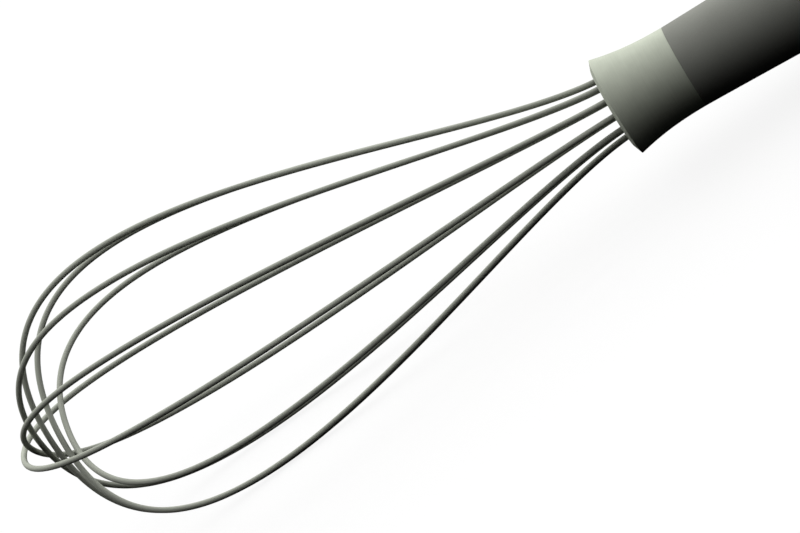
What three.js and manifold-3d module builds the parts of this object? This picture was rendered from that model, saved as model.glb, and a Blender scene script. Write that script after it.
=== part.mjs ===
// A balloon whisk: six wire loops, hooked into a holder inside a flared collar, on a round handle.
// It lies at rest with its tip towards -X, and the cage's two lowest strands and the handle's heel touch z = 0.
// Along the whisk's own axis, x = 0 is the collar's lip, the cage lies at x < 0 and the handle at x > 0.

import * as THREE from 'three';
import { mergeVertices } from 'three/addons/utils/BufferGeometryUtils.js';
import Module from 'manifold-3d';

// Driving dimensions of the wire cage, in millimetres
const loopCount = 6;
const wireDiameter = 1.4;
const balloonLength = 166.5; // lip to the apex of the longest loop
const balloonRadius = 34.85;
const noseLength = 41.5; // apex back to the widest point, on the longest loop
const apexPitch = 2.49; // each loop's apex lies this far behind that of the loop outside it
const noseStep = 1.14; // and its nose is this much shorter
const exitSlope = 0.07; // how fast the strands spread where they leave the collar
const exitPull = 27; // the four pulls are the lengths of the curve handles that shape a strand
const flankPull = 37.6;
const shoulderPull = 17.3;
const crownPull = 32.1;
const crownStep = 0.62; // the crown's pull shortens by this from each loop to the next
const hookBend = 1.6;
const hookReach = 2.2; // socket's centre inwards to the hook's tip
const leadInRound = 1.5; // half length of the bend where a strand turns parallel to the axis

// Driving dimensions of the collar and of what it holds
const collarLength = 19.75;
const jointRadius = 10.82; // outside of collar and grip where they meet
const lipFlare = 2.25; // the lip stands this far outside the joint
const flarePower = 2.3; // how late the flare opens towards the lip
const lipEdge = 0.66; // the flare ends in an edge this far behind x = 0
const lipBevel = 0.38; // slope of the bevel that rises from that edge towards the mouth
const lipRound = 0.3;
const mouthRadius = 10.2;
const collarWall = 1.4;
const flangeThickness = 2.4;
const tailLength = 14;
const tailWall = 1.2;
const sealRecess = 1.2;
const sealThickness = 3;
const socketRim = 0.7; // holder's wall outside the sockets
const plateThickness = 2;
const screwDiameter = 3;
const screwHeadDiameter = 5.6;
const screwHeadHeight = 2.2;
const screwHeadSide = 1.1; // straight part of the head's height
const screwPoint = 1; // length of the taper at its tip
const screwTipDiameter = 1.5;
const recessWidth = 0.9;
const recessSpan = 3.2;
const recessDepth = 1.1;
const pilotFloor = 2; // holder's wall in front of the screw

// Driving dimensions of the handle
const gripLength = 100;
const gripWall = 2; // at the collar, where the grip is thinnest
const gripSlope = 0.02; // how fast the grip swells behind the collar
const gripBellyAt = 72;
const gripBellyRadius = 12.3;
const gripHeelRadius = 11;
const gripFrontPull = 25;
const gripBackPull = 12;
const coreWall = 1.8;
const coreStop = 1; // step inside the core that the collar's tail and the cap's plug meet
const plugLength = 14;
const capEdge = 1.2; // straight rim of the cap before its dome
const capDome = 6;
const eyeOffset = 11.5; // cap's rim to the centre of the hanging eye
const eyeRadius = 7.5;
const eyeHoleDiameter = 8;
const eyeThickness = 6;
const eyeBevel = 0.8;

// Gap that every two touching pieces keep
const fitGap = 0.3;

// Facets
const wireSides = 8;
const turnedSides = 36;
const innerSides = 28;
const screwSides = 16;
const eyeSteps = 12;
const domeSteps = 6;
const flareSteps = 6;
const boreSteps = 3;
const lipSteps = 4;
const gripSteps = 6;
const restSamples = 4; // points per ring when the rest tilt is found
const tiltHalvings = 40;
const legSteps = 1;
const bendSteps = 3;
const socketSteps = 1;
const leadInSteps = 2;
const exitSteps = 1;
const flankSteps = 13;
const noseSteps = 12;

// Sizes that follow
const wireRadius = wireDiameter / 2;
const channelRadius = wireRadius + fitGap;
const screwRadius = screwDiameter / 2;
const screwHole = screwRadius + fitGap;
const collarBore = jointRadius - collarWall;
const holderRadius = collarBore - fitGap;
const socketRadius = holderRadius - socketRim - channelRadius;
const gripBore = jointRadius - gripWall;
const coreRadius = gripBore - fitGap;
const coreBore = coreRadius - coreWall;
const tailRadius = coreBore - fitGap;
const plugRadius = coreBore - fitGap;

// Places along the axis, from the lip backwards
const lipBack = sealRecess - fitGap;
const sealEnd = sealRecess + sealThickness;
const holderStart = sealEnd + fitGap;
const flangeStart = collarLength - flangeThickness;
const plateEnd = flangeStart - fitGap;
const plateStart = plateEnd - plateThickness;
const holderEnd = plateStart - fitGap;
const hookAt = holderEnd - wireRadius;
const leadIn = holderStart + leadInRound;
const exitRadius = socketRadius + exitSlope * leadIn;
const tailEnd = collarLength + tailLength;
const gripStart = collarLength + fitGap;
const gripEnd = gripStart + gripLength;
const capStart = gripEnd + fitGap;
const capRim = capStart + capEdge;

// Joining and cutting closed meshes

const wasm = await Module();
wasm.setup();

function toSolid(geometry) {
  const bare = geometry.clone();
  bare.deleteAttribute('normal');
  bare.deleteAttribute('uv');
  const welded = mergeVertices(bare);
  const corners = welded.index.array;
  const triangles = [];
  for (let i = 0; i < corners.length; i += 3) {
    const [a, b, c] = corners.slice(i, i + 3);
    if (a !== b && b !== c && c !== a) triangles.push(a, b, c);
  }
  return new wasm.Manifold(new wasm.Mesh({
    numProp: 3,
    vertProperties: new Float32Array(welded.attributes.position.array),
    triVerts: new Uint32Array(triangles),
  }));
}

function toGeometry(solid) {
  const { vertProperties, triVerts } = solid.getMesh();
  const geometry = new THREE.BufferGeometry();
  geometry.setAttribute('position', new THREE.BufferAttribute(vertProperties, 3));
  geometry.setIndex(new THREE.BufferAttribute(triVerts, 1));
  geometry.computeVertexNormals();
  return geometry;
}

function cut(geometry, cutters) {
  let solid = toSolid(geometry);
  for (const cutter of cutters) solid = solid.subtract(toSolid(cutter));
  return toGeometry(solid);
}

// Revolves [radius, x] pairs about the whisk's axis; outer walls run towards +x
function turned(profile, sides) {
  const points = profile.map(([radius, x]) => new THREE.Vector2(radius, x));
  return new THREE.LatheGeometry(points, sides).rotateZ(-Math.PI / 2);
}

function turnedRing(profile, sides) {
  return turned([...profile, profile[0]], sides);
}

function samples(curve, count) {
  return curve.getPoints(count).map(({ x, y }) => [x, y]);
}

// Wires

// A wire's centre line, from spans that each take their own number of rings, so that tight hooks stay round
class WirePath extends THREE.Curve {
  constructor(spans) {
    super();
    this.spans = spans;
    this.rings = spans.reduce((sum, { rings }) => sum + rings, 0);
  }

  getPoint(t, target = new THREE.Vector3()) {
    let ring = THREE.MathUtils.clamp(t, 0, 1) * this.rings;
    let stretch = this.spans[0];
    for (stretch of this.spans) {
      if (ring <= stretch.rings) break;
      ring -= stretch.rings;
    }
    return stretch.curve.getPoint(Math.min(ring / stretch.rings, 1), target);
  }

  getUtoTmapping(u) {
    return u;
  }
}

// A span through [x, radius] control points in a loop's own plane, where the radius points to -Y
function span(points, rings) {
  const corners = points.map(([x, radius]) => new THREE.Vector3(x, -radius, 0));
  const kinds = { 2: THREE.LineCurve3, 3: THREE.QuadraticBezierCurve3, 4: THREE.CubicBezierCurve3 };
  return { points, rings, curve: new kinds[points.length](...corners) };
}

function mirrored({ points, rings }) {
  return span(points.map(([x, radius]) => [x, -radius]).reverse(), rings);
}

// The end of a strand inside the collar: hook, socket and the bend where it starts to spread
function rootSpans(hookTip, exitAt) {
  const quarterCirclePull = 4 * (Math.SQRT2 - 1) / 3;
  const arc = hookBend * (1 - quarterCirclePull);
  const bendTop = socketRadius - hookBend;
  const bendFront = hookAt - hookBend;
  const spreadAt = (x) => socketRadius + exitSlope * (leadIn - x);
  const spreadStart = leadIn - leadInRound;
  return [
    span([[hookAt, hookTip], [hookAt, bendTop]], legSteps),
    span([[hookAt, bendTop], [hookAt, socketRadius - arc], [hookAt - arc, socketRadius],
      [bendFront, socketRadius]], bendSteps),
    span([[bendFront, socketRadius], [leadIn + leadInRound, socketRadius]], socketSteps),
    span([[leadIn + leadInRound, socketRadius], [leadIn, socketRadius],
      [spreadStart, spreadAt(spreadStart)]], leadInSteps),
    span([[spreadStart, spreadAt(spreadStart)], [exitAt, spreadAt(exitAt)]], exitSteps),
  ];
}

// The bowed part of a strand, from the lip to the loop's apex on the axis
function cageSpans(order) {
  const apex = -(balloonLength - apexPitch * order);
  const widest = apex + noseLength - noseStep * order;
  const crown = crownPull - crownStep * order;
  return [
    span([[0, exitRadius], [-exitPull, exitRadius + exitSlope * exitPull],
      [widest + flankPull, balloonRadius], [widest, balloonRadius]], flankSteps),
    span([[widest, balloonRadius], [widest - shoulderPull, balloonRadius],
      [apex, crown], [apex, 0]], noseSteps),
  ];
}

// Loops stand at even angles about the axis, turned so that two strands share the lowest place
function loopAngle(order) {
  return Math.PI * (order + 0.5) / loopCount;
}

function roundWire(spans, radius) {
  const corners = Array.from({ length: wireSides }, (_, i) => {
    const angle = 2 * Math.PI * (i + 0.5) / wireSides;
    return new THREE.Vector2(radius * Math.cos(angle), radius * Math.sin(angle));
  });
  const extrudePath = new WirePath(spans);
  return new THREE.ExtrudeGeometry(new THREE.Shape(corners), { steps: extrudePath.rings, extrudePath });
}

function wireLoop(order) {
  const half = [...rootSpans(socketRadius - hookReach, 0), ...cageSpans(order)];
  return roundWire([...half, ...half.map(mirrored).reverse()], wireRadius);
}

// Puts a copy of a cutter at every strand
function atStrands(cutter) {
  return Array.from({ length: 2 * loopCount }, (_, i) => cutter.clone().rotateX(-loopAngle(i)));
}

// Clearance round the strands, from the hooks to just in front of the lip
const strandChannels = atStrands(roundWire(rootSpans(socketRadius - hookReach - fitGap, -fitGap), channelRadius));

// Collar and what it holds

function collarRadius(x) {
  return jointRadius + lipFlare * ((collarLength - x) / collarLength) ** flarePower;
}

// The round edge of the mouth, from its bore to the bevel that runs out to the flare's edge
function mouthArc() {
  const lean = Math.atan(lipBevel);
  const radius = mouthRadius + lipRound;
  const x = lipEdge - lipBevel * (collarRadius(lipEdge) - radius) + lipRound / Math.cos(lean);
  return new THREE.EllipseCurve(radius, x, lipRound, lipRound, -Math.PI, lean - Math.PI / 2);
}

function collar() {
  const flare = Array.from({ length: flareSteps + 1 }, (_, i) => {
    const x = THREE.MathUtils.lerp(lipEdge, collarLength, i / flareSteps);
    return [collarRadius(x), x];
  });
  const inside = Array.from({ length: boreSteps + 1 }, (_, i) => {
    const x = THREE.MathUtils.lerp(flangeStart, lipBack, i / boreSteps);
    return [collarRadius(x) - collarWall, x];
  });
  return turnedRing([
    ...samples(mouthArc(), lipSteps),
    ...flare,
    [tailRadius, collarLength],
    [tailRadius, tailEnd],
    [tailRadius - tailWall, tailEnd],
    [tailRadius - tailWall, collarLength],
    [screwHole, collarLength],
    [screwHole, flangeStart],
    ...inside,
    [mouthRadius, lipBack],
  ], turnedSides);
}

function mouthSeal() {
  const edge = (x) => [collarRadius(x) - collarWall - fitGap, x];
  const disc = turned([[0, sealRecess], edge(sealRecess), edge(sealEnd), [0, sealEnd]], turnedSides);
  return cut(disc, strandChannels);
}

function wireHolder() {
  const pilotEnd = holderStart + pilotFloor;
  const hub = turned([
    [0, holderStart],
    [holderRadius, holderStart],
    [holderRadius, holderEnd],
    [screwHole, holderEnd],
    [screwHole, pilotEnd],
    [0, pilotEnd],
  ], innerSides);
  // Slots open the hooks to the holder's back, so that the ends can be bent over there
  const slotStart = socketRadius - hookReach - fitGap;
  const slotEnd = socketRadius + channelRadius;
  const slotDepth = holderEnd + fitGap - hookAt;
  const slot = new THREE.BoxGeometry(slotDepth, slotEnd - slotStart, 2 * channelRadius);
  slot.translate(hookAt + slotDepth / 2, -(slotStart + slotEnd) / 2, 0);
  return cut(hub, [...strandChannels, ...atStrands(slot)]);
}

function hookPlate() {
  return turnedRing([
    [screwHole, plateStart],
    [holderRadius, plateStart],
    [holderRadius, plateEnd],
    [screwHole, plateEnd],
  ], innerSides);
}

function holderScrew() {
  const tip = holderStart + pilotFloor + fitGap;
  const seat = collarLength + fitGap;
  const top = seat + screwHeadHeight;
  const headRadius = screwHeadDiameter / 2;
  const body = turned([
    [0, tip],
    [screwTipDiameter / 2, tip],
    [screwRadius, tip + screwPoint],
    [screwRadius, seat],
    [headRadius, seat],
    [headRadius, seat + screwHeadSide],
    [recessSpan / 2 + fitGap, top],
    [0, top],
  ], screwSides);
  const slot = new THREE.BoxGeometry(2 * recessDepth, recessSpan, recessWidth).translate(top, 0, 0);
  return cut(body, [slot, slot.clone().rotateX(Math.PI / 2)]);
}

// Handle

function gripProfile() {
  const bellyAt = gripStart + gripBellyAt;
  const front = new THREE.CubicBezierCurve(
    new THREE.Vector2(jointRadius, gripStart),
    new THREE.Vector2(jointRadius + gripSlope * gripFrontPull, gripStart + gripFrontPull),
    new THREE.Vector2(gripBellyRadius, bellyAt - gripFrontPull),
    new THREE.Vector2(gripBellyRadius, bellyAt),
  );
  const back = new THREE.QuadraticBezierCurve(
    new THREE.Vector2(gripBellyRadius, bellyAt),
    new THREE.Vector2(gripBellyRadius, bellyAt + gripBackPull),
    new THREE.Vector2(gripHeelRadius, gripEnd),
  );
  return [...samples(front, gripSteps), ...samples(back, gripSteps).slice(1)];
}

function gripSleeve() {
  return turnedRing([...gripProfile(), [gripBore, gripEnd], [gripBore, gripStart]], turnedSides);
}

function handleCore() {
  const frontStop = tailEnd + fitGap;
  const backStop = capStart - plugLength - fitGap;
  const stopBore = coreBore - coreStop;
  return turnedRing([
    [coreRadius, gripStart],
    [coreRadius, gripEnd],
    [coreBore, gripEnd],
    [coreBore, backStop],
    [stopBore, backStop],
    [stopBore, frontStop],
    [coreBore, frontStop],
    [coreBore, gripStart],
  ], innerSides);
}

function capProfile() {
  const dome = new THREE.EllipseCurve(0, capRim, gripHeelRadius, capDome, 0, Math.PI / 2);
  return [[gripHeelRadius, capStart], ...samples(dome, domeSteps).slice(0, -1), [0, capRim + capDome]];
}

function endCap() {
  const plug = turned([
    [0, capStart - plugLength],
    [plugRadius, capStart - plugLength],
    [plugRadius, capStart],
    ...capProfile(),
  ], turnedSides);
  const eyeArc = (radius, from, to, count) => new THREE.EllipseCurve(
    capRim + eyeOffset, 0, radius, radius, from, to).getPoints(count);
  const tab = new THREE.Shape([
    new THREE.Vector2(capRim, -eyeRadius),
    ...eyeArc(eyeRadius, -Math.PI / 2, Math.PI / 2, eyeSteps),
    new THREE.Vector2(capRim, eyeRadius),
  ]);
  tab.holes.push(new THREE.Path(eyeArc(eyeHoleDiameter / 2, 0, 2 * Math.PI, 2 * eyeSteps).slice(1)));
  const eye = new THREE.ExtrudeGeometry(tab, {
    depth: eyeThickness - 2 * eyeBevel,
    bevelSize: eyeBevel,
    bevelThickness: eyeBevel,
    bevelOffset: -eyeBevel,
    bevelSegments: 1,
  });
  eye.translate(0, 0, eyeBevel - eyeThickness / 2).rotateX(Math.PI / 2);
  return toGeometry(toSolid(plug).add(toSolid(eye)));
}

// Assembly

const whisk = new THREE.Group();

function addPiece(name, geometry, color, roughness, metalness) {
  const piece = new THREE.Mesh(geometry, new THREE.MeshStandardMaterial({ color, roughness, metalness }));
  piece.name = name;
  whisk.add(piece);
  return piece;
}

for (let order = 0; order < loopCount; order += 1) {
  const loop = addPiece(`wire_loop_${order + 1}`, wireLoop(order), 0xa3a799, 0.4, 0.9);
  loop.rotation.x = -loopAngle(order);
}
addPiece('collar', collar(), 0xc3c8ba, 0.45, 0.8);
addPiece('mouth_seal', mouthSeal(), 0x4a4b48, 0.7, 0);
addPiece('wire_holder', wireHolder(), 0x8e8f8a, 0.6, 0);
addPiece('hook_plate', hookPlate(), 0xa9aca4, 0.4, 0.9);
addPiece('holder_screw', holderScrew(), 0xb4b6b0, 0.35, 0.9);
addPiece('handle_core', handleCore(), 0x6f706d, 0.6, 0);
addPiece('grip_sleeve', gripSleeve(), 0x5b5c58, 0.65, 0);
addPiece('end_cap', endCap(), 0x5b5c58, 0.6, 0);

// Rest: the tilt at which the cage and the handle reach equally far down
const cagePoints = Array.from({ length: loopCount }, (_, order) => cageSpans(order)
  .flatMap(({ curve, rings }) => curve.getPoints(restSamples * rings))
  .map(({ x, y }) => [x, Math.abs(y * Math.sin(loopAngle(order))) + wireRadius])).flat();
const handlePoints = [...gripProfile(), ...capProfile()].map(([radius, x]) => [x, radius]);

function reach(points, tilt) {
  return Math.max(...points.map(([x, depth]) => depth * Math.cos(tilt) + x * Math.sin(tilt)));
}

let flatter = 0;
let steeper = Math.PI / 4;
for (let i = 0; i < tiltHalvings; i += 1) {
  const tilt = (flatter + steeper) / 2;
  if (reach(cagePoints, tilt) > reach(handlePoints, tilt)) flatter = tilt;
  else steeper = tilt;
}
whisk.rotation.y = steeper;

// The origin is the middle of the part's footprint, on the table
const part = new THREE.Group();
part.add(whisk);
part.updateMatrixWorld(true);
const bounds = new THREE.Box3().setFromObject(whisk, true);
const middle = bounds.getCenter(new THREE.Vector3());
whisk.position.set(-middle.x, -middle.y, -bounds.min.z);

export default part;
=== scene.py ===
"""A balloon whisk lying on a white table, seen from the side and a little above.

The scene is in metres, in the part's frame. The whisk's own sizes are in millimetres along its own axis,
where x = 0 is the collar's lip, the wire cage lies at x < 0 and the handle at x > 0.
"""

import math

import bpy
import numpy as np
from mathutils import Matrix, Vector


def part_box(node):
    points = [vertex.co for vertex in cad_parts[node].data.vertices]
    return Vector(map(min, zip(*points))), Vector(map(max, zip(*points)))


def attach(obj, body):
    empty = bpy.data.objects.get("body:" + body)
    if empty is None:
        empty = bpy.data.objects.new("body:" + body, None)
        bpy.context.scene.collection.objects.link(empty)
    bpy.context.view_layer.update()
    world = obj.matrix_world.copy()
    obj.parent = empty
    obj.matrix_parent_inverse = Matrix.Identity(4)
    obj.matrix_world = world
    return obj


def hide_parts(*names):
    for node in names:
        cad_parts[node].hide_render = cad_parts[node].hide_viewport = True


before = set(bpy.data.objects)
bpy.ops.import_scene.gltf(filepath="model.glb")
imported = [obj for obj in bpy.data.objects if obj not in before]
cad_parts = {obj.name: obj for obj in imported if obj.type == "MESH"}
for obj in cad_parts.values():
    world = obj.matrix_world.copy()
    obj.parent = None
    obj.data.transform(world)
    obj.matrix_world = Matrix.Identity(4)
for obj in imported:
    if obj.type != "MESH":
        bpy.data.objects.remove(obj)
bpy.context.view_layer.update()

MM = 0.001
TINY = 1e-6

# Wire cage; a pull is how far a curve's control point lies from its end
LOOPS = 6
STRANDS = 2 * LOOPS
WIRE_RADIUS = 0.745
CAGE_LENGTH = 166.5
CAGE_RADIUS = 34.85
NOSE_LENGTH = 41.5
APEX_PITCH = 2.49  # from one loop's apex back to that of the next loop inside it
NOSE_STEP = 1.14  # how much shorter the next loop's nose is
CROWN_STEP = 0.62  # how much shorter its crown pull is
EXIT_SLOPE = 0.07  # how fast the strands spread where they leave the collar
EXIT_PULL = 27.0
FLANK_PULL = 37.6
SHOULDER_PULL = 17.3
CROWN_PULL = 32.1
SOCKET_RADIUS = 7.42
LEAD_IN = 6.0  # where a strand turns from its socket to the exit slope
LEAD_IN_ROUND = 1.5
EXIT_RADIUS = SOCKET_RADIUS + EXIT_SLOPE * LEAD_IN
HOOK_AT = 14.05  # where the strand's end points inward
HOOK_BEND = 1.6
HOOK_REACH = 2.2
QUARTER_PULL = 4 * (math.sqrt(2) - 1) / 3  # of a quarter circle, as a share of its radius

# Collar and the seal in its mouth
COLLAR_LENGTH = 19.75
JOINT_RADIUS = 10.82  # of the collar and the grip where they meet
LIP_FLARE = 2.25  # how far the flare would stand out from the joint at x = 0
FLARE_POWER = 2.3
LIP_EDGE = 0.66  # where the flare ends in an edge
LIP_CREASE = 0.1  # round on that edge
LIP_BEVEL = 0.38  # slope of the lip from that edge to the mouth
LIP_ROUND = 0.3  # round at the mouth
MOUTH_RADIUS = 10.2
COLLAR_WALL = 1.4
FLANGE = 2.4
TAIL_LENGTH = 14.0
TAIL_RADIUS = 6.42
TAIL_WALL = 1.2
SCREW_HOLE_RADIUS = 1.8
PLATE_THICKNESS = 2.0
SEAL_RECESS = 1.2
SEAL_THICKNESS = 3.0
SEAL_EDGE = 0.5
SEAL_CUFF_RADIUS = 1.15
SEAL_CUFF_HEIGHT = 0.35
SNUG = 0.02  # gap round the seal and in its holes

# Handle
FIT_GAP = 0.3  # between the solids of two pieces
SEAM = 0.01  # what is left of that gap where it shows
EDGE = 0.04  # round on the edges at a seam
GRIP_LENGTH = 100.0
GRIP_BORE = 8.82
GRIP_SLOPE = 0.02
GRIP_BELLY_AT = 72.0
GRIP_BELLY_RADIUS = 12.3
GRIP_HEEL_RADIUS = 11.0
GRIP_FRONT_PULL = 25.0
GRIP_BACK_PULL = 12.0
HEEL_EDGE = 2 * EDGE  # round on the grip's edge at the heel
HEEL_LEAN = 70  # direction in degrees that this round starts from
HEEL_RUN = 0.6  # share of the outline's last step that comes before the round
PLUG_LENGTH = 14.0
PLUG_RADIUS = 6.42
CAP_EDGE = 1.2
CAP_DOME = 6.0
CAP_ROUND = 0.5
EYE_OFFSET = 11.5
EYE_RADIUS = 7.5
EYE_HOLE_RADIUS = 4.0
EYE_THICKNESS = 6.0
EYE_ROUND = 1.1
EYE_BLEND = 3.0

PLATE_MIDDLE = COLLAR_LENGTH - FLANGE - FIT_GAP - PLATE_THICKNESS / 2
GRIP_START = COLLAR_LENGTH + FIT_GAP
GRIP_END = GRIP_START + GRIP_LENGTH
CAP_START = GRIP_END + FIT_GAP
CAP_RIM = CAP_START + CAP_EDGE
EYE_AT = CAP_RIM + EYE_OFFSET

# Fineness of the wires
WIRE_SIDES = 20
LEG_STEPS = 2
BEND_STEPS = 10
SOCKET_STEPS = 2
LEAD_IN_STEPS = 6
EXIT_STEPS = 4
FLANK_STEPS = 110
NOSE_STEPS = 90

# Fineness of the turned pieces
TURNED_SIDES = 160
EDGE_STEPS = 5
MOUTH_STEPS = 10
BEVEL_POINTS = 10
FLARE_POINTS = 40
BORE_POINTS = 24
GRIP_FRONT_STEPS = 60
GRIP_BACK_STEPS = 40

# Fineness of the pieces that are found on a grid
SEAL_GRID = 0.18
CAP_GRID = 0.36
GRID_MARGIN = 1.0
SEAL_FRONT_MARGIN = 1.5
NET_ROUNDS = 4
SETTLING_STEPS = 4
SLOPE_REACH = 0.001
LEAST_SLOPE_SQUARED = 0.05
LEAST_DOME_SLOPE = 0.5 / GRIP_HEEL_RADIUS

# Camera, found from the photograph's outlines; angles are in degrees, and a tilt of 0 looks straight down
CAMERA_PLACE = (0.204487, -1.449498, 0.799379)
CAMERA_TURN = 10.01757
CAMERA_TILT = 62.13975
CAMERA_ROLL = -40.13463
CAMERA_LENS = 309.573
SENSOR_WIDTH = 36
CLIP_START = 0.1
CLIP_END = 30

# Light and table
LIGHT_FROM = (0.06, 0.734, 0.676)
LIGHT_STRENGTH = 2.25
FILL_STRENGTH = 0.01
TABLE_REACH = 4.0
TABLE_DROP = 0.0004
TABLE_GLOW = 0.85
TABLE_MATTE = 0.15
TABLE_BOUNCE = 0.004

# Surfaces
SHEEN = 0.0  # no surface shows a highlight
NOISE_LOW = 0.3  # noise lies between these two nearly everywhere
NOISE_HIGH = 0.7
GRAIN_DEPTH = 0.00002
GRIP_COLOUR = (0.267, 0.273, 0.246)
CAP_SHADE = 0.96  # the cap is a little darker than the grip
SEAL_COLOUR = (0.06, 0.06, 0.057)
HOLDER_COLOUR = (0.27, 0.27, 0.26)
CORE_COLOUR = (0.16, 0.16, 0.155)


# How the whisk lies

def node_middle(node):
    """Middle of a node's box in the frame."""
    low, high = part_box(node)
    return (low + high) / 2


def whisk_matrix():
    """From the whisk's own axes to the frame, by two round pieces whose middles are on its axis."""
    plate = node_middle("hook_plate")
    axis = node_middle("handle_core") - plate
    tilt = math.atan2(-axis.z, axis.x)
    from_plate = Matrix.Translation((-PLATE_MIDDLE * MM, 0, 0))
    return Matrix.Translation(plate) @ Matrix.Rotation(tilt, 4, "Y") @ from_plate


WHISK = whisk_matrix()


# Curves and meshes

def bezier(points, count):
    """count + 1 points along the Bezier curve with these control points."""
    points = np.array(points, float)
    degree = len(points) - 1
    t = np.linspace(0, 1, count + 1)[:, None]
    return sum(math.comb(degree, i) * t ** i * (1 - t) ** (degree - i) * p for i, p in enumerate(points))


def joined(*runs):
    """One line of points from runs that share their end points."""
    return np.concatenate([runs[0], *[run[1:] for run in runs[1:]]])


def arc(x, radius, size, start, end, count):
    """Points of an arc in a turned section, with angles in degrees from +x towards larger radius."""
    turn = np.radians(np.linspace(start, end, count + 1))
    return np.stack([x + size * np.cos(turn), radius + size * np.sin(turn)], 1)


def rounded(corner, size, start, end, count):
    """An arc that rounds the corner between two edges that face start and end, in degrees."""
    first, last = np.radians([start, end])
    middle = np.array([math.cos(first) + math.cos(last), math.sin(first) + math.sin(last)])
    x, radius = np.array(corner) - size * middle / (1 + math.cos(first - last))
    return arc(x, radius, size, start, end, count)


def ring_quads(rings, sides, closed):
    """Quads from each ring of vertices to the next one, and from the last to the first where closed."""
    ring = np.arange(rings if closed else rings - 1)[:, None] * sides
    following = (ring + sides) % (rings * sides)
    column = np.arange(sides)[None]
    beside = (column + 1) % sides
    corners = [ring + column, ring + beside, following + beside, following + column]
    return np.stack(corners, -1).reshape(-1, 4).tolist()


def new_piece(name, vertices, faces, notes):
    """A smooth mesh at the whisk's place, from points in millimetres along its own axes.

    notes are vectors in millimetres, kept by name at each vertex for the materials to read.
    """
    mesh = bpy.data.meshes.new(name)
    mesh.from_pydata((np.asarray(vertices) * MM).tolist(), [], faces)
    mesh.transform(WHISK)
    mesh.update()
    mesh.polygons.foreach_set("use_smooth", [True] * len(mesh.polygons))
    for key, values in notes.items():
        kept = mesh.attributes.new(key, "FLOAT_VECTOR", "POINT")
        kept.data.foreach_set("vector", (np.asarray(values) * MM).astype(np.float32).ravel())
    piece = bpy.data.objects.new(name, mesh)
    bpy.context.scene.collection.objects.link(piece)
    return piece


def turned(name, profile):
    """A piece of revolution from [x, radius] points that run round its closed section."""
    profile = np.array(profile, float)
    turn = 2 * math.pi * np.arange(TURNED_SIDES) / TURNED_SIDES
    circle = np.stack([np.zeros_like(turn), np.cos(turn), np.sin(turn)], 1)
    vertices = profile[:, None, :1] * np.array([1, 0, 0]) + profile[:, None, 1:] * circle
    vertices = vertices.reshape(-1, 3)
    return new_piece(name, vertices, ring_quads(len(profile), TURNED_SIDES, True), {"own": vertices})


def surface_net(distance, low, high, step):
    """Vertices and quads of the surface where distance is zero, on a grid between two corners."""
    axes = [np.arange(a, b + step, step) for a, b in zip(low, high)]
    grid = np.stack(np.meshgrid(*axes, indexing="ij"), -1)
    inside = distance(grid.reshape(-1, 3)).reshape(grid.shape[:3]) < 0
    sides = (slice(None, -1), slice(1, None))
    cells = [inside[i, j, k] for i in sides for j in sides for k in sides]
    filled = sum(cell.astype(int) for cell in cells)
    crossed = (filled > 0) & (filled < len(cells))
    index = np.full(crossed.shape, -1)
    index[crossed] = np.arange(crossed.sum())
    points = np.array(low) + (np.argwhere(crossed) + 0.5) * step
    quads = []
    for axis in range(3):
        a, b = np.eye(3, dtype=int)[[(axis + 1) % 3, (axis + 2) % 3]]
        first = np.take(inside, range(inside.shape[axis] - 1), axis)
        second = np.take(inside, range(1, inside.shape[axis]), axis)
        at = np.argwhere(first != second)
        quad = np.stack([index[tuple((at - shift).T)] for shift in (0 * a, a, a + b, b)], 1)
        outward = first[tuple(at.T)]
        quads.append(np.where(outward[:, None], quad, quad[:, ::-1]))
    quads = np.concatenate(quads)
    for _ in range(NET_ROUNDS):
        points = settled(evened(points, quads), distance)
    return points, quads.tolist()


def evened(points, quads):
    """The points, each moved half way to the middle of its neighbours."""
    total = np.zeros_like(points)
    count = np.zeros(len(points))
    for i in range(4):
        for j in ((i + 1) % 4, (i + 3) % 4):
            np.add.at(total, quads[:, i], points[quads[:, j]])
            np.add.at(count, quads[:, i], 1)
    return (points + total / count[:, None]) / 2


def settled(points, distance):
    """The points, pulled onto the surface along the distance's slope."""
    for _ in range(SETTLING_STEPS):
        slope = np.stack([(distance(points + d) - distance(points - d)) / (2 * SLOPE_REACH)
                          for d in np.eye(3) * SLOPE_REACH], 1)
        size = np.maximum((slope ** 2).sum(1), LEAST_SLOPE_SQUARED)
        points = points - (distance(points) / size)[:, None] * slope
    return points


def soft_min(a, b, width):
    """The lesser of two distances, with the valley between them rounded over that width."""
    share = np.clip(0.5 + 0.5 * (b - a) / width, 0, 1)
    return b + (a - b) * share - width * share * (1 - share)


def soft_max(a, b, width):
    """The greater of two distances, with the ridge between them rounded over that width."""
    return -soft_min(-a, -b, width)


# Wires

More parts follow.
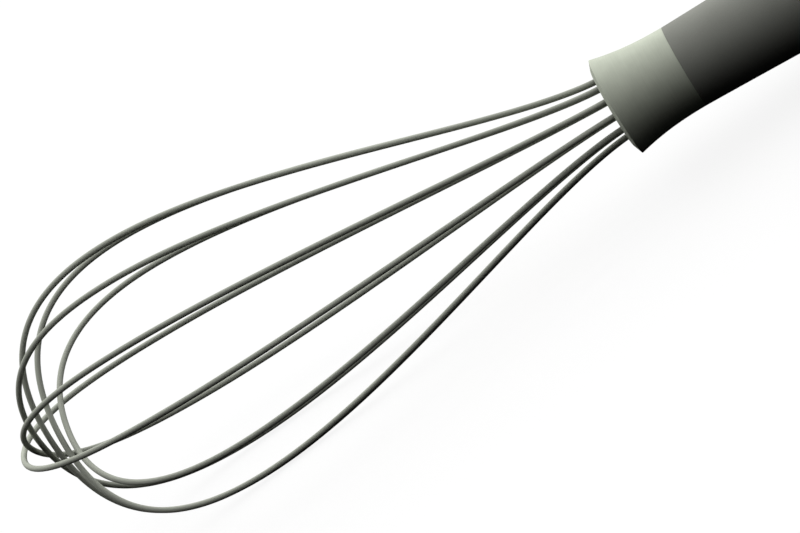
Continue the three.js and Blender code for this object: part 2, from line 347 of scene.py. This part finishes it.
def strand_line(order):
    """[x, radius] points of one strand, from the tip of its hook to the loop's apex."""
    quarter = HOOK_BEND * (1 - QUARTER_PULL)
    apex = -(CAGE_LENGTH - APEX_PITCH * order)
    widest = apex + NOSE_LENGTH - NOSE_STEP * order
    crown = CROWN_PULL - CROWN_STEP * order
    bend_top = SOCKET_RADIUS - HOOK_BEND
    bend_front = HOOK_AT - HOOK_BEND
    socket_front = LEAD_IN + LEAD_IN_ROUND
    spread = LEAD_IN - LEAD_IN_ROUND
    spread_radius = SOCKET_RADIUS + EXIT_SLOPE * LEAD_IN_ROUND
    return joined(
        bezier([(HOOK_AT, SOCKET_RADIUS - HOOK_REACH), (HOOK_AT, bend_top)], LEG_STEPS),
        bezier([(HOOK_AT, bend_top), (HOOK_AT, SOCKET_RADIUS - quarter),
                (HOOK_AT - quarter, SOCKET_RADIUS), (bend_front, SOCKET_RADIUS)], BEND_STEPS),
        bezier([(bend_front, SOCKET_RADIUS), (socket_front, SOCKET_RADIUS)], SOCKET_STEPS),
        bezier([(socket_front, SOCKET_RADIUS), (LEAD_IN, SOCKET_RADIUS), (spread, spread_radius)],
               LEAD_IN_STEPS),
        bezier([(spread, spread_radius), (0, EXIT_RADIUS)], EXIT_STEPS),
        bezier([(0, EXIT_RADIUS), (-EXIT_PULL, EXIT_RADIUS + EXIT_SLOPE * EXIT_PULL),
                (widest + FLANK_PULL, CAGE_RADIUS), (widest, CAGE_RADIUS)], FLANK_STEPS),
        bezier([(widest, CAGE_RADIUS), (widest - SHOULDER_PULL, CAGE_RADIUS), (apex, crown), (apex, 0)],
               NOSE_STEPS),
    )


def strand_direction(order):
    """Unit vector from the axis to a strand; the loops' second strands follow their first ones."""
    angle = math.pi * (order + 0.5) / LOOPS
    return np.array([0, -math.cos(angle), math.sin(angle)])


def wire_loop(order):
    """A round wire along one loop.

    Each vertex keeps its place on the straight wire that the loop was bent from. The middle of that wire
    became the apex.
    """
    half = strand_line(order)
    outline = np.concatenate([half, half[::-1][1:] * [1, -1]])
    away = strand_direction(order)
    line = outline[:, :1] * np.array([1, 0, 0]) + outline[:, 1:] * away
    side = np.cross([1, 0, 0], away)
    ahead = np.gradient(line, axis=0)
    ahead /= np.linalg.norm(ahead, axis=1)[:, None]
    across = np.cross(side, ahead)
    length = np.concatenate([[0], np.cumsum(np.linalg.norm(np.diff(line, axis=0), axis=1))])
    turn = 2 * math.pi * np.arange(WIRE_SIDES) / WIRE_SIDES
    ring = WIRE_RADIUS * np.stack([np.cos(turn), np.sin(turn)], 1)
    vertices = line[:, None] + ring[None, :, :1] * across[:, None] + ring[None, :, 1:] * side
    straight = np.empty_like(vertices)
    straight[..., 0] = (length - length[-1] / 2)[:, None]
    straight[..., 1:] = ring
    last = (len(line) - 1) * WIRE_SIDES
    ends = [list(range(WIRE_SIDES))[::-1], list(range(last, last + WIRE_SIDES))]
    faces = ring_quads(len(line), WIRE_SIDES, False) + ends
    return new_piece(f"whisk_wire_{order + 1}", vertices.reshape(-1, 3), faces, {"straight": straight})


# Collar, seal and grip

def collar_radius(x):
    """Outer radius of the collar's flare."""
    return JOINT_RADIUS + LIP_FLARE * ((COLLAR_LENGTH - x) / COLLAR_LENGTH) ** FLARE_POWER


def bore_radius(x):
    """Inner radius of the collar behind its mouth."""
    return collar_radius(x) - COLLAR_WALL


def collar_shell():
    """The collar: a bevelled lip, the flare, a flange inside it and the tail that goes into the handle."""
    bevel_lean = math.degrees(math.atan(LIP_BEVEL))
    flare_fall = collar_radius(0) - collar_radius(2 * LIP_EDGE)
    flare_lean = math.degrees(math.atan(flare_fall / (2 * LIP_EDGE)))
    bevel_rise = LIP_BEVEL * (collar_radius(LIP_EDGE) - MOUTH_RADIUS - LIP_ROUND)
    mouth_at = LIP_EDGE - bevel_rise + LIP_ROUND / math.cos(math.radians(bevel_lean))
    mouth = arc(mouth_at, MOUTH_RADIUS + LIP_ROUND, LIP_ROUND, 270, 180 - bevel_lean, MOUTH_STEPS)
    lip_edge = (LIP_EDGE, collar_radius(LIP_EDGE))
    crease = rounded(lip_edge, LIP_CREASE, 180 - bevel_lean, 90 - flare_lean, EDGE_STEPS)
    bevel = np.linspace(mouth[-1], crease[0], BEVEL_POINTS)[1:-1]
    flare_places = np.linspace(crease[-1][0], COLLAR_LENGTH - EDGE, FLARE_POINTS)[1:]
    flare = [(x, collar_radius(x)) for x in flare_places]
    back = arc(COLLAR_LENGTH - EDGE, JOINT_RADIUS - EDGE, EDGE, 90, 0, EDGE_STEPS)[1:]
    tail_end = COLLAR_LENGTH + TAIL_LENGTH
    tail_bore = TAIL_RADIUS - TAIL_WALL
    flange_start = COLLAR_LENGTH - FLANGE
    shoulder = SEAL_RECESS - SNUG
    inside = [(x, bore_radius(x)) for x in np.linspace(flange_start, shoulder, BORE_POINTS)]
    return turned("whisk_collar", [
        *mouth, *bevel, *crease, *flare, *back,
        (COLLAR_LENGTH, JOINT_RADIUS - 2 * EDGE), (COLLAR_LENGTH, TAIL_RADIUS), (tail_end, TAIL_RADIUS),
        (tail_end, tail_bore), (COLLAR_LENGTH, tail_bore), (COLLAR_LENGTH, SCREW_HOLE_RADIUS),
        (flange_start, SCREW_HOLE_RADIUS), *inside, (shoulder, MOUTH_RADIUS),
    ])


def seal_distance(points):
    """Distance to the seal: a disc in the collar's mouth with a low cuff round each strand."""
    x = points[:, 0]
    rim = np.hypot(points[:, 1], points[:, 2]) - bore_radius(x) + SNUG
    faces = np.abs(x - SEAL_RECESS - SEAL_THICKNESS / 2) - SEAL_THICKNESS / 2
    disc = soft_max(rim, faces, SEAL_EDGE)
    strand_radius = EXIT_RADIUS - EXIT_SLOPE * x
    from_wire = np.full(len(points), np.inf)
    for order in range(STRANDS):
        away = strand_direction(order)
        side = np.cross([1, 0, 0], away)
        from_wire = np.minimum(from_wire, np.hypot(points @ away - strand_radius, points @ side))
    cuff = np.maximum(from_wire - SEAL_CUFF_RADIUS, np.abs(x - SEAL_RECESS) - SEAL_CUFF_HEIGHT)
    return soft_max(soft_min(disc, cuff, SEAL_EDGE), WIRE_RADIUS + SNUG - from_wire, SEAL_EDGE / 2)


def mouth_seal():
    """The seal, found on a grid that holds the disc and its cuffs."""
    reach = bore_radius(0) + GRID_MARGIN
    low = (SEAL_RECESS - SEAL_FRONT_MARGIN, -reach, -reach)
    high = (SEAL_RECESS + SEAL_THICKNESS + GRID_MARGIN, reach, reach)
    vertices, faces = surface_net(seal_distance, low, high, SEAL_GRID)
    return new_piece("whisk_seal", vertices, faces, {"own": vertices})


def grip_cover():
    """The grip: it swells slowly from the collar to its belly and falls to the heel."""
    start = COLLAR_LENGTH + SEAM
    belly = GRIP_START + GRIP_BELLY_AT
    front = bezier([(GRIP_START, JOINT_RADIUS),
                    (GRIP_START + GRIP_FRONT_PULL, JOINT_RADIUS + GRIP_SLOPE * GRIP_FRONT_PULL),
                    (belly - GRIP_FRONT_PULL, GRIP_BELLY_RADIUS),
                    (belly, GRIP_BELLY_RADIUS)], GRIP_FRONT_STEPS)
    back = bezier([(belly, GRIP_BELLY_RADIUS),
                   (belly + GRIP_BACK_PULL, GRIP_BELLY_RADIUS),
                   (GRIP_END, GRIP_HEEL_RADIUS)], GRIP_BACK_STEPS)
    outline = joined(front, back)[:-1]
    heel = outline[-1] + (np.array([GRIP_END, GRIP_HEEL_RADIUS]) - outline[-1]) * HEEL_RUN
    return turned("whisk_grip", [
        *arc(start + EDGE, JOINT_RADIUS - EDGE, EDGE, 180, 90, EDGE_STEPS), *outline, heel,
        *arc(GRIP_END - HEEL_EDGE, GRIP_HEEL_RADIUS - HEEL_EDGE, HEEL_EDGE, HEEL_LEAN, 0, EDGE_STEPS),
        (GRIP_END, GRIP_BORE), (start, GRIP_BORE),
    ])


# End cap

def dome_distance(x, radius):
    """Distance to the cap's dome with its straight rim."""
    ahead = np.maximum(x - CAP_RIM, 0)
    level = np.hypot(radius / GRIP_HEEL_RADIUS, ahead / CAP_DOME)
    slope = np.hypot(radius / GRIP_HEEL_RADIUS ** 2, ahead / CAP_DOME ** 2) / np.maximum(level, TINY)
    dome = (level - 1) / np.maximum(slope, LEAST_DOME_SLOPE)
    return soft_max(dome, GRIP_END + SEAM - x, CAP_ROUND)


def plug_distance(x, radius):
    """Distance to the plug that goes into the handle."""
    ends = np.maximum(CAP_START - PLUG_LENGTH - x, x - CAP_RIM)
    return soft_max(radius - PLUG_RADIUS, ends, CAP_ROUND)


def eye_distance(x, y, z):
    """Distance to the tab with the hanging eye, with its edges rounded."""
    rim = np.hypot(np.maximum(x - EYE_AT, 0), z) - EYE_RADIUS
    hole = EYE_HOLE_RADIUS - np.hypot(x - EYE_AT, z)
    outline = np.maximum(np.maximum(rim, hole), CAP_RIM - x) + EYE_ROUND
    sides = np.abs(y) - EYE_THICKNESS / 2 + EYE_ROUND
    outside = np.hypot(np.maximum(outline, 0), np.maximum(sides, 0))
    return outside + np.minimum(np.maximum(outline, sides), 0) - EYE_ROUND


def cap_distance(points):
    """Distance to the end cap: the tab grows out of the dome, and the plug stands in front of it."""
    x, y, z = points.T
    radius = np.hypot(y, z)
    body = soft_min(dome_distance(x, radius), eye_distance(x, y, z), EYE_BLEND)
    return np.minimum(body, plug_distance(x, radius))


def end_cap():
    """The end cap, found on a grid from its plug to the eye."""
    reach = GRIP_HEEL_RADIUS + GRID_MARGIN
    low = (CAP_START - PLUG_LENGTH - GRID_MARGIN, -reach, -reach)
    high = (EYE_AT + EYE_RADIUS + GRID_MARGIN, reach, reach)
    vertices, faces = surface_net(cap_distance, low, high, CAP_GRID)
    return new_piece("whisk_heel", vertices, faces, {"own": vertices})


# Materials

class Tree:
    """Short calls for building a node tree."""

    def __init__(self, tree):
        self.tree = tree

    def feed(self, node, inputs):
        """Links sockets to a node's inputs, and sets plain values on them."""
        for key, value in inputs.items():
            if isinstance(value, bpy.types.NodeSocket):
                self.tree.links.new(value, node.inputs[key])
            else:
                node.inputs[key].default_value = value

    def node(self, kind, inputs=None, **settings):
        """A new shader node with these settings and inputs."""
        made = self.tree.nodes.new("ShaderNode" + kind)
        for key, value in settings.items():
            setattr(made, key, value)
        self.feed(made, inputs or {})
        return made

    def math(self, operation, *values):
        """The result of an operation on numbers."""
        return self.node("Math", dict(enumerate(values)), operation=operation).outputs[0]

    def vector(self, operation, *values):
        """The result of an operation on vectors."""
        return self.node("VectorMath", dict(enumerate(values)), operation=operation).outputs[0]

    def noise(self, place, detail=2.0, roughness=0.5):
        """Noise between 0 and 1, with about one feature for each step of 1 in the place."""
        return self.node("TexNoise", {"Vector": place, "Scale": 1.0, "Detail": detail,
                                      "Roughness": roughness}).outputs[0]

    def grain(self, place, scale, detail=2.0):
        """Noise with the scale as features per metre in each direction."""
        return self.noise(self.vector("MULTIPLY", place, scale), detail)

    def blended(self, first, second, share):
        """A share of the first value with the rest of the second."""
        rest = self.math("MULTIPLY", second, 1 - share)
        return self.math("ADD", self.math("MULTIPLY", first, share), rest)

    def spread(self, value, low, high, start=NOISE_LOW, end=NOISE_HIGH):
        """The value from start to end mapped to low to high."""
        return self.node("MapRange", {"Value": value, "From Min": start, "From Max": end,
                                      "To Min": low, "To Max": high}).outputs[0]

    def tinted(self, value, colour, change):
        """The colour, darker or lighter by up to that share, by the value."""
        ramp = self.node("ValToRGB", {"Fac": value})
        dark, light = ramp.color_ramp.elements
        dark.position = NOISE_LOW
        dark.color = (*shaded(colour, 1 - change), 1)
        light.position = NOISE_HIGH
        light.color = (*shaded(colour, 1 + change), 1)
        return ramp.outputs[0]

    def relief(self, height, strength, depth=GRAIN_DEPTH):
        """A normal that follows the height."""
        return self.node("Bump", {"Height": height, "Strength": strength, "Distance": depth}).outputs[0]


def shaded(colour, share):
    """The colour times a share."""
    return tuple(c * share for c in colour)


def own_place(tree, name="own"):
    """The vector that is kept at the vertices by that name."""
    return tree.node("Attribute", attribute_name=name).outputs["Vector"]


def object_place(tree):
    """The place in the frame, for pieces that keep no vectors."""
    return tree.node("TexCoord").outputs["Object"]


def drawn_wire(tree):
    """Wire with fine lines along its length from drawing, slow changes of tone, and a colour that is paler
    towards the loop's apex.
    """
    colour = (0.421, 0.441, 0.382)
    line_scale = (12, 2400, 2400)
    tone_scale = (90, 500, 500)
    apex_gain = 1.06
    apex_reach = (0.045, 0.08)
    place = own_place(tree, "straight")
    from_apex = tree.math("ABSOLUTE", tree.node("SeparateXYZ", {0: place}).outputs[0])
    # The colour is up to 6% paler within 45 mm of the apex, fading to its plain value by 80 mm
    apex_lift = tree.spread(from_apex, apex_gain, 1.0, *apex_reach)
    lines = tree.grain(place, line_scale)
    tone = tree.grain(place, tone_scale)
    even = tree.tinted(tree.blended(lines, tone, share=0.4), colour, change=0.08)
    return {"Base Color": tree.vector("MULTIPLY", even, apex_lift),
            "Roughness": tree.spread(lines, low=0.42, high=0.6),
            "Specular IOR Level": SHEEN,
            "Normal": tree.relief(lines, strength=0.04)}


def satin_metal(tree):
    """Turned metal with fine lines round it from brushing, and faint clouding."""
    colour = (0.541, 0.578, 0.484)
    along_scale = (5200, 0, 0)
    around_scale = (0, 1.6, 1.6)
    tone_scale = (260, 260, 260)
    place = own_place(tree)
    parts = tree.node("SeparateXYZ", {0: place}).outputs
    outward = tree.vector("NORMALIZE", tree.node("CombineXYZ", {1: parts[1], 2: parts[2]}).outputs[0])
    along = tree.vector("MULTIPLY", place, along_scale)
    around = tree.vector("MULTIPLY", outward, around_scale)
    lines = tree.noise(tree.vector("ADD", along, around), detail=3.0, roughness=0.6)
    tone = tree.grain(place, tone_scale)
    return {"Base Color": tree.tinted(tree.blended(lines, tone, share=0.5), colour, change=0.07),
            "Roughness": tree.spread(lines, low=0.4, high=0.55),
            "Specular IOR Level": SHEEN,
            "Normal": tree.relief(lines, strength=0.2)}


def moulded(colour, grain, roughness, depth=GRAIN_DEPTH, place_in=own_place):
    """Moulded plastic or rubber with a fine even grain and faint clouding."""
    cloud_scale = (120, 120, 120)
    roughness_change = 0.06

    def build(tree):
        """The inputs of the shader."""
        place = place_in(tree)
        fine = tree.grain(place, (grain, grain, grain))
        cloud = tree.grain(place, cloud_scale, detail=3.0)
        return {"Base Color": tree.tinted(tree.blended(fine, cloud, share=0.5), colour, change=0.08),
                "Roughness": tree.spread(fine, roughness - roughness_change, roughness + roughness_change),
                "Specular IOR Level": SHEEN,
                "Normal": tree.relief(fine, 0.3, depth)}
    return build


def plain_steel(tree):
    """Machined steel of the hidden fasteners."""
    colour = (0.45, 0.46, 0.43)
    grain_scale = (1500, 1500, 1500)
    fine = tree.grain(object_place(tree), grain_scale, detail=3.0)
    return {"Base Color": tree.tinted(fine, colour, change=0.1),
            "Metallic": 0.6,
            "Roughness": tree.spread(fine, low=0.35, high=0.5)}


def surface(name, build):
    """A new material whose shader takes the sockets and values that build returns for it."""
    material = bpy.data.materials.new(name)
    material.use_nodes = True
    tree = Tree(material.node_tree)
    tree.feed(material.node_tree.nodes["Principled BSDF"], build(tree))
    return material


wire_steel = surface("wire_steel", drawn_wire)
collar_satin = surface("collar_satin", satin_metal)
seal_rubber = surface("seal_rubber", moulded(SEAL_COLOUR, grain=3500, roughness=0.75))
grip_rubber = surface("grip_rubber", moulded(GRIP_COLOUR, grain=3800, roughness=0.62))
cap_plastic = surface("cap_plastic", moulded(shaded(GRIP_COLOUR, CAP_SHADE), grain=3000, roughness=0.56,
                                             depth=0.000015))
holder_nylon = surface("holder_nylon", moulded(HOLDER_COLOUR, grain=1800, roughness=0.55,
                                               place_in=object_place))
core_plastic = surface("core_plastic", moulded(CORE_COLOUR, grain=1800, roughness=0.6,
                                               place_in=object_place))
fastener_steel = surface("fastener_steel", plain_steel)


# Pieces

def stand_for(piece, node, material):
    """piece takes the place of a CAD node on the one body."""
    piece.data.materials.append(material)
    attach(piece, "root")
    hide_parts(node)


for order in range(LOOPS):
    stand_for(wire_loop(order), f"wire_loop_{order + 1}", wire_steel)
stand_for(collar_shell(), "collar", collar_satin)
stand_for(mouth_seal(), "mouth_seal", seal_rubber)
stand_for(grip_cover(), "grip_sleeve", grip_rubber)
stand_for(end_cap(), "end_cap", cap_plastic)

# Inner pieces stay as they are, under better surfaces
for node, material in (("wire_holder", holder_nylon), ("hook_plate", fastener_steel),
                       ("holder_screw", fastener_steel), ("handle_core", core_plastic)):
    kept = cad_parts[node]
    kept.data.materials.clear()
    kept.data.materials.append(material)


# Camera, light and table

def grey(level):
    """A colour with the same amount of red, green and blue."""
    return (level, level, level, 1)


def photo_camera():
    """The camera, which rolls about its line of sight, tilts up and then turns about the upright."""
    camera = bpy.data.objects.new("camera", bpy.data.cameras.new("camera"))
    bpy.context.scene.collection.objects.link(camera)
    turn = Matrix.Rotation(math.radians(CAMERA_TURN), 4, "Z")
    tilt = Matrix.Rotation(math.radians(CAMERA_TILT), 4, "X")
    roll = Matrix.Rotation(math.radians(CAMERA_ROLL), 4, "Z")
    camera.matrix_world = Matrix.Translation(CAMERA_PLACE) @ turn @ tilt @ roll
    camera.data.sensor_fit = "HORIZONTAL"
    camera.data.sensor_width = SENSOR_WIDTH
    camera.data.lens = CAMERA_LENS
    camera.data.clip_start = CLIP_START
    camera.data.clip_end = CLIP_END
    bpy.context.scene.camera = camera


def seen_directly(tree):
    """1 for what the camera sees, straight or in a reflection or through something clear."""
    path = tree.node("LightPath").outputs
    seen = tree.math("MAXIMUM", path["Is Camera Ray"], path["Is Glossy Ray"])
    return tree.math("MAXIMUM", seen, path["Is Transmission Ray"])


def light_dome():
    """A soft dome of light, brightest above and behind the whisk, and plain white to the eye."""
    world = bpy.data.worlds.new("studio")
    bpy.context.scene.world = world
    world.use_nodes = True
    world.node_tree.nodes.clear()
    sky = Tree(world.node_tree)
    direction = sky.node("TexCoord").outputs["Generated"]
    facing = sky.node("VectorMath", {0: direction, 1: LIGHT_FROM}, operation="DOT_PRODUCT").outputs["Value"]
    lobe = sky.math("MULTIPLY", sky.math("MAXIMUM", facing, 0.0), LIGHT_STRENGTH)
    lamp = sky.node("Background", {"Color": grey(1), "Strength": sky.math("ADD", lobe, FILL_STRENGTH)})
    white = sky.node("Background", {"Color": grey(1), "Strength": 1.0})
    both = sky.node("MixShader", {0: seen_directly(sky), 1: lamp.outputs[0], 2: white.outputs[0]})
    sky.node("OutputWorld", {"Surface": both.outputs[0]})


def table_white():
    """White to the eye with a soft shadow, and dark to the light that would bounce off it."""
    material = bpy.data.materials.new("table_white")
    material.use_nodes = True
    material.node_tree.nodes.clear()
    # The glow is for the eye alone, so no light is looked for in it
    material.cycles.emission_sampling = "NONE"
    top = Tree(material.node_tree)
    glow = top.node("Emission", {"Color": grey(1), "Strength": TABLE_GLOW})
    matte = top.node("BsdfDiffuse", {"Color": grey(TABLE_MATTE)})
    pale = top.node("AddShader", {0: glow.outputs[0], 1: matte.outputs[0]})
    dark = top.node("BsdfDiffuse", {"Color": grey(TABLE_BOUNCE)})
    shown = top.node("MixShader", {0: seen_directly(top), 1: dark.outputs[0], 2: pale.outputs[0]})
    top.node("OutputMaterial", {"Surface": shown.outputs[0]})
    return material


def table():
    """A wide flat square just under the whisk."""
    corners = [(sx * TABLE_REACH, sy * TABLE_REACH, -TABLE_DROP)
               for sx, sy in ((-1, -1), (1, -1), (1, 1), (-1, 1))]
    mesh = bpy.data.meshes.new("table")
    mesh.from_pydata(corners, [], [(0, 1, 2, 3)])
    mesh.materials.append(table_white())
    top = bpy.data.objects.new("table", mesh)
    bpy.context.scene.collection.objects.link(top)
    return top


photo_camera()
light_dome()
floor = table()

bpy.context.scene.view_settings.view_transform = "Standard"
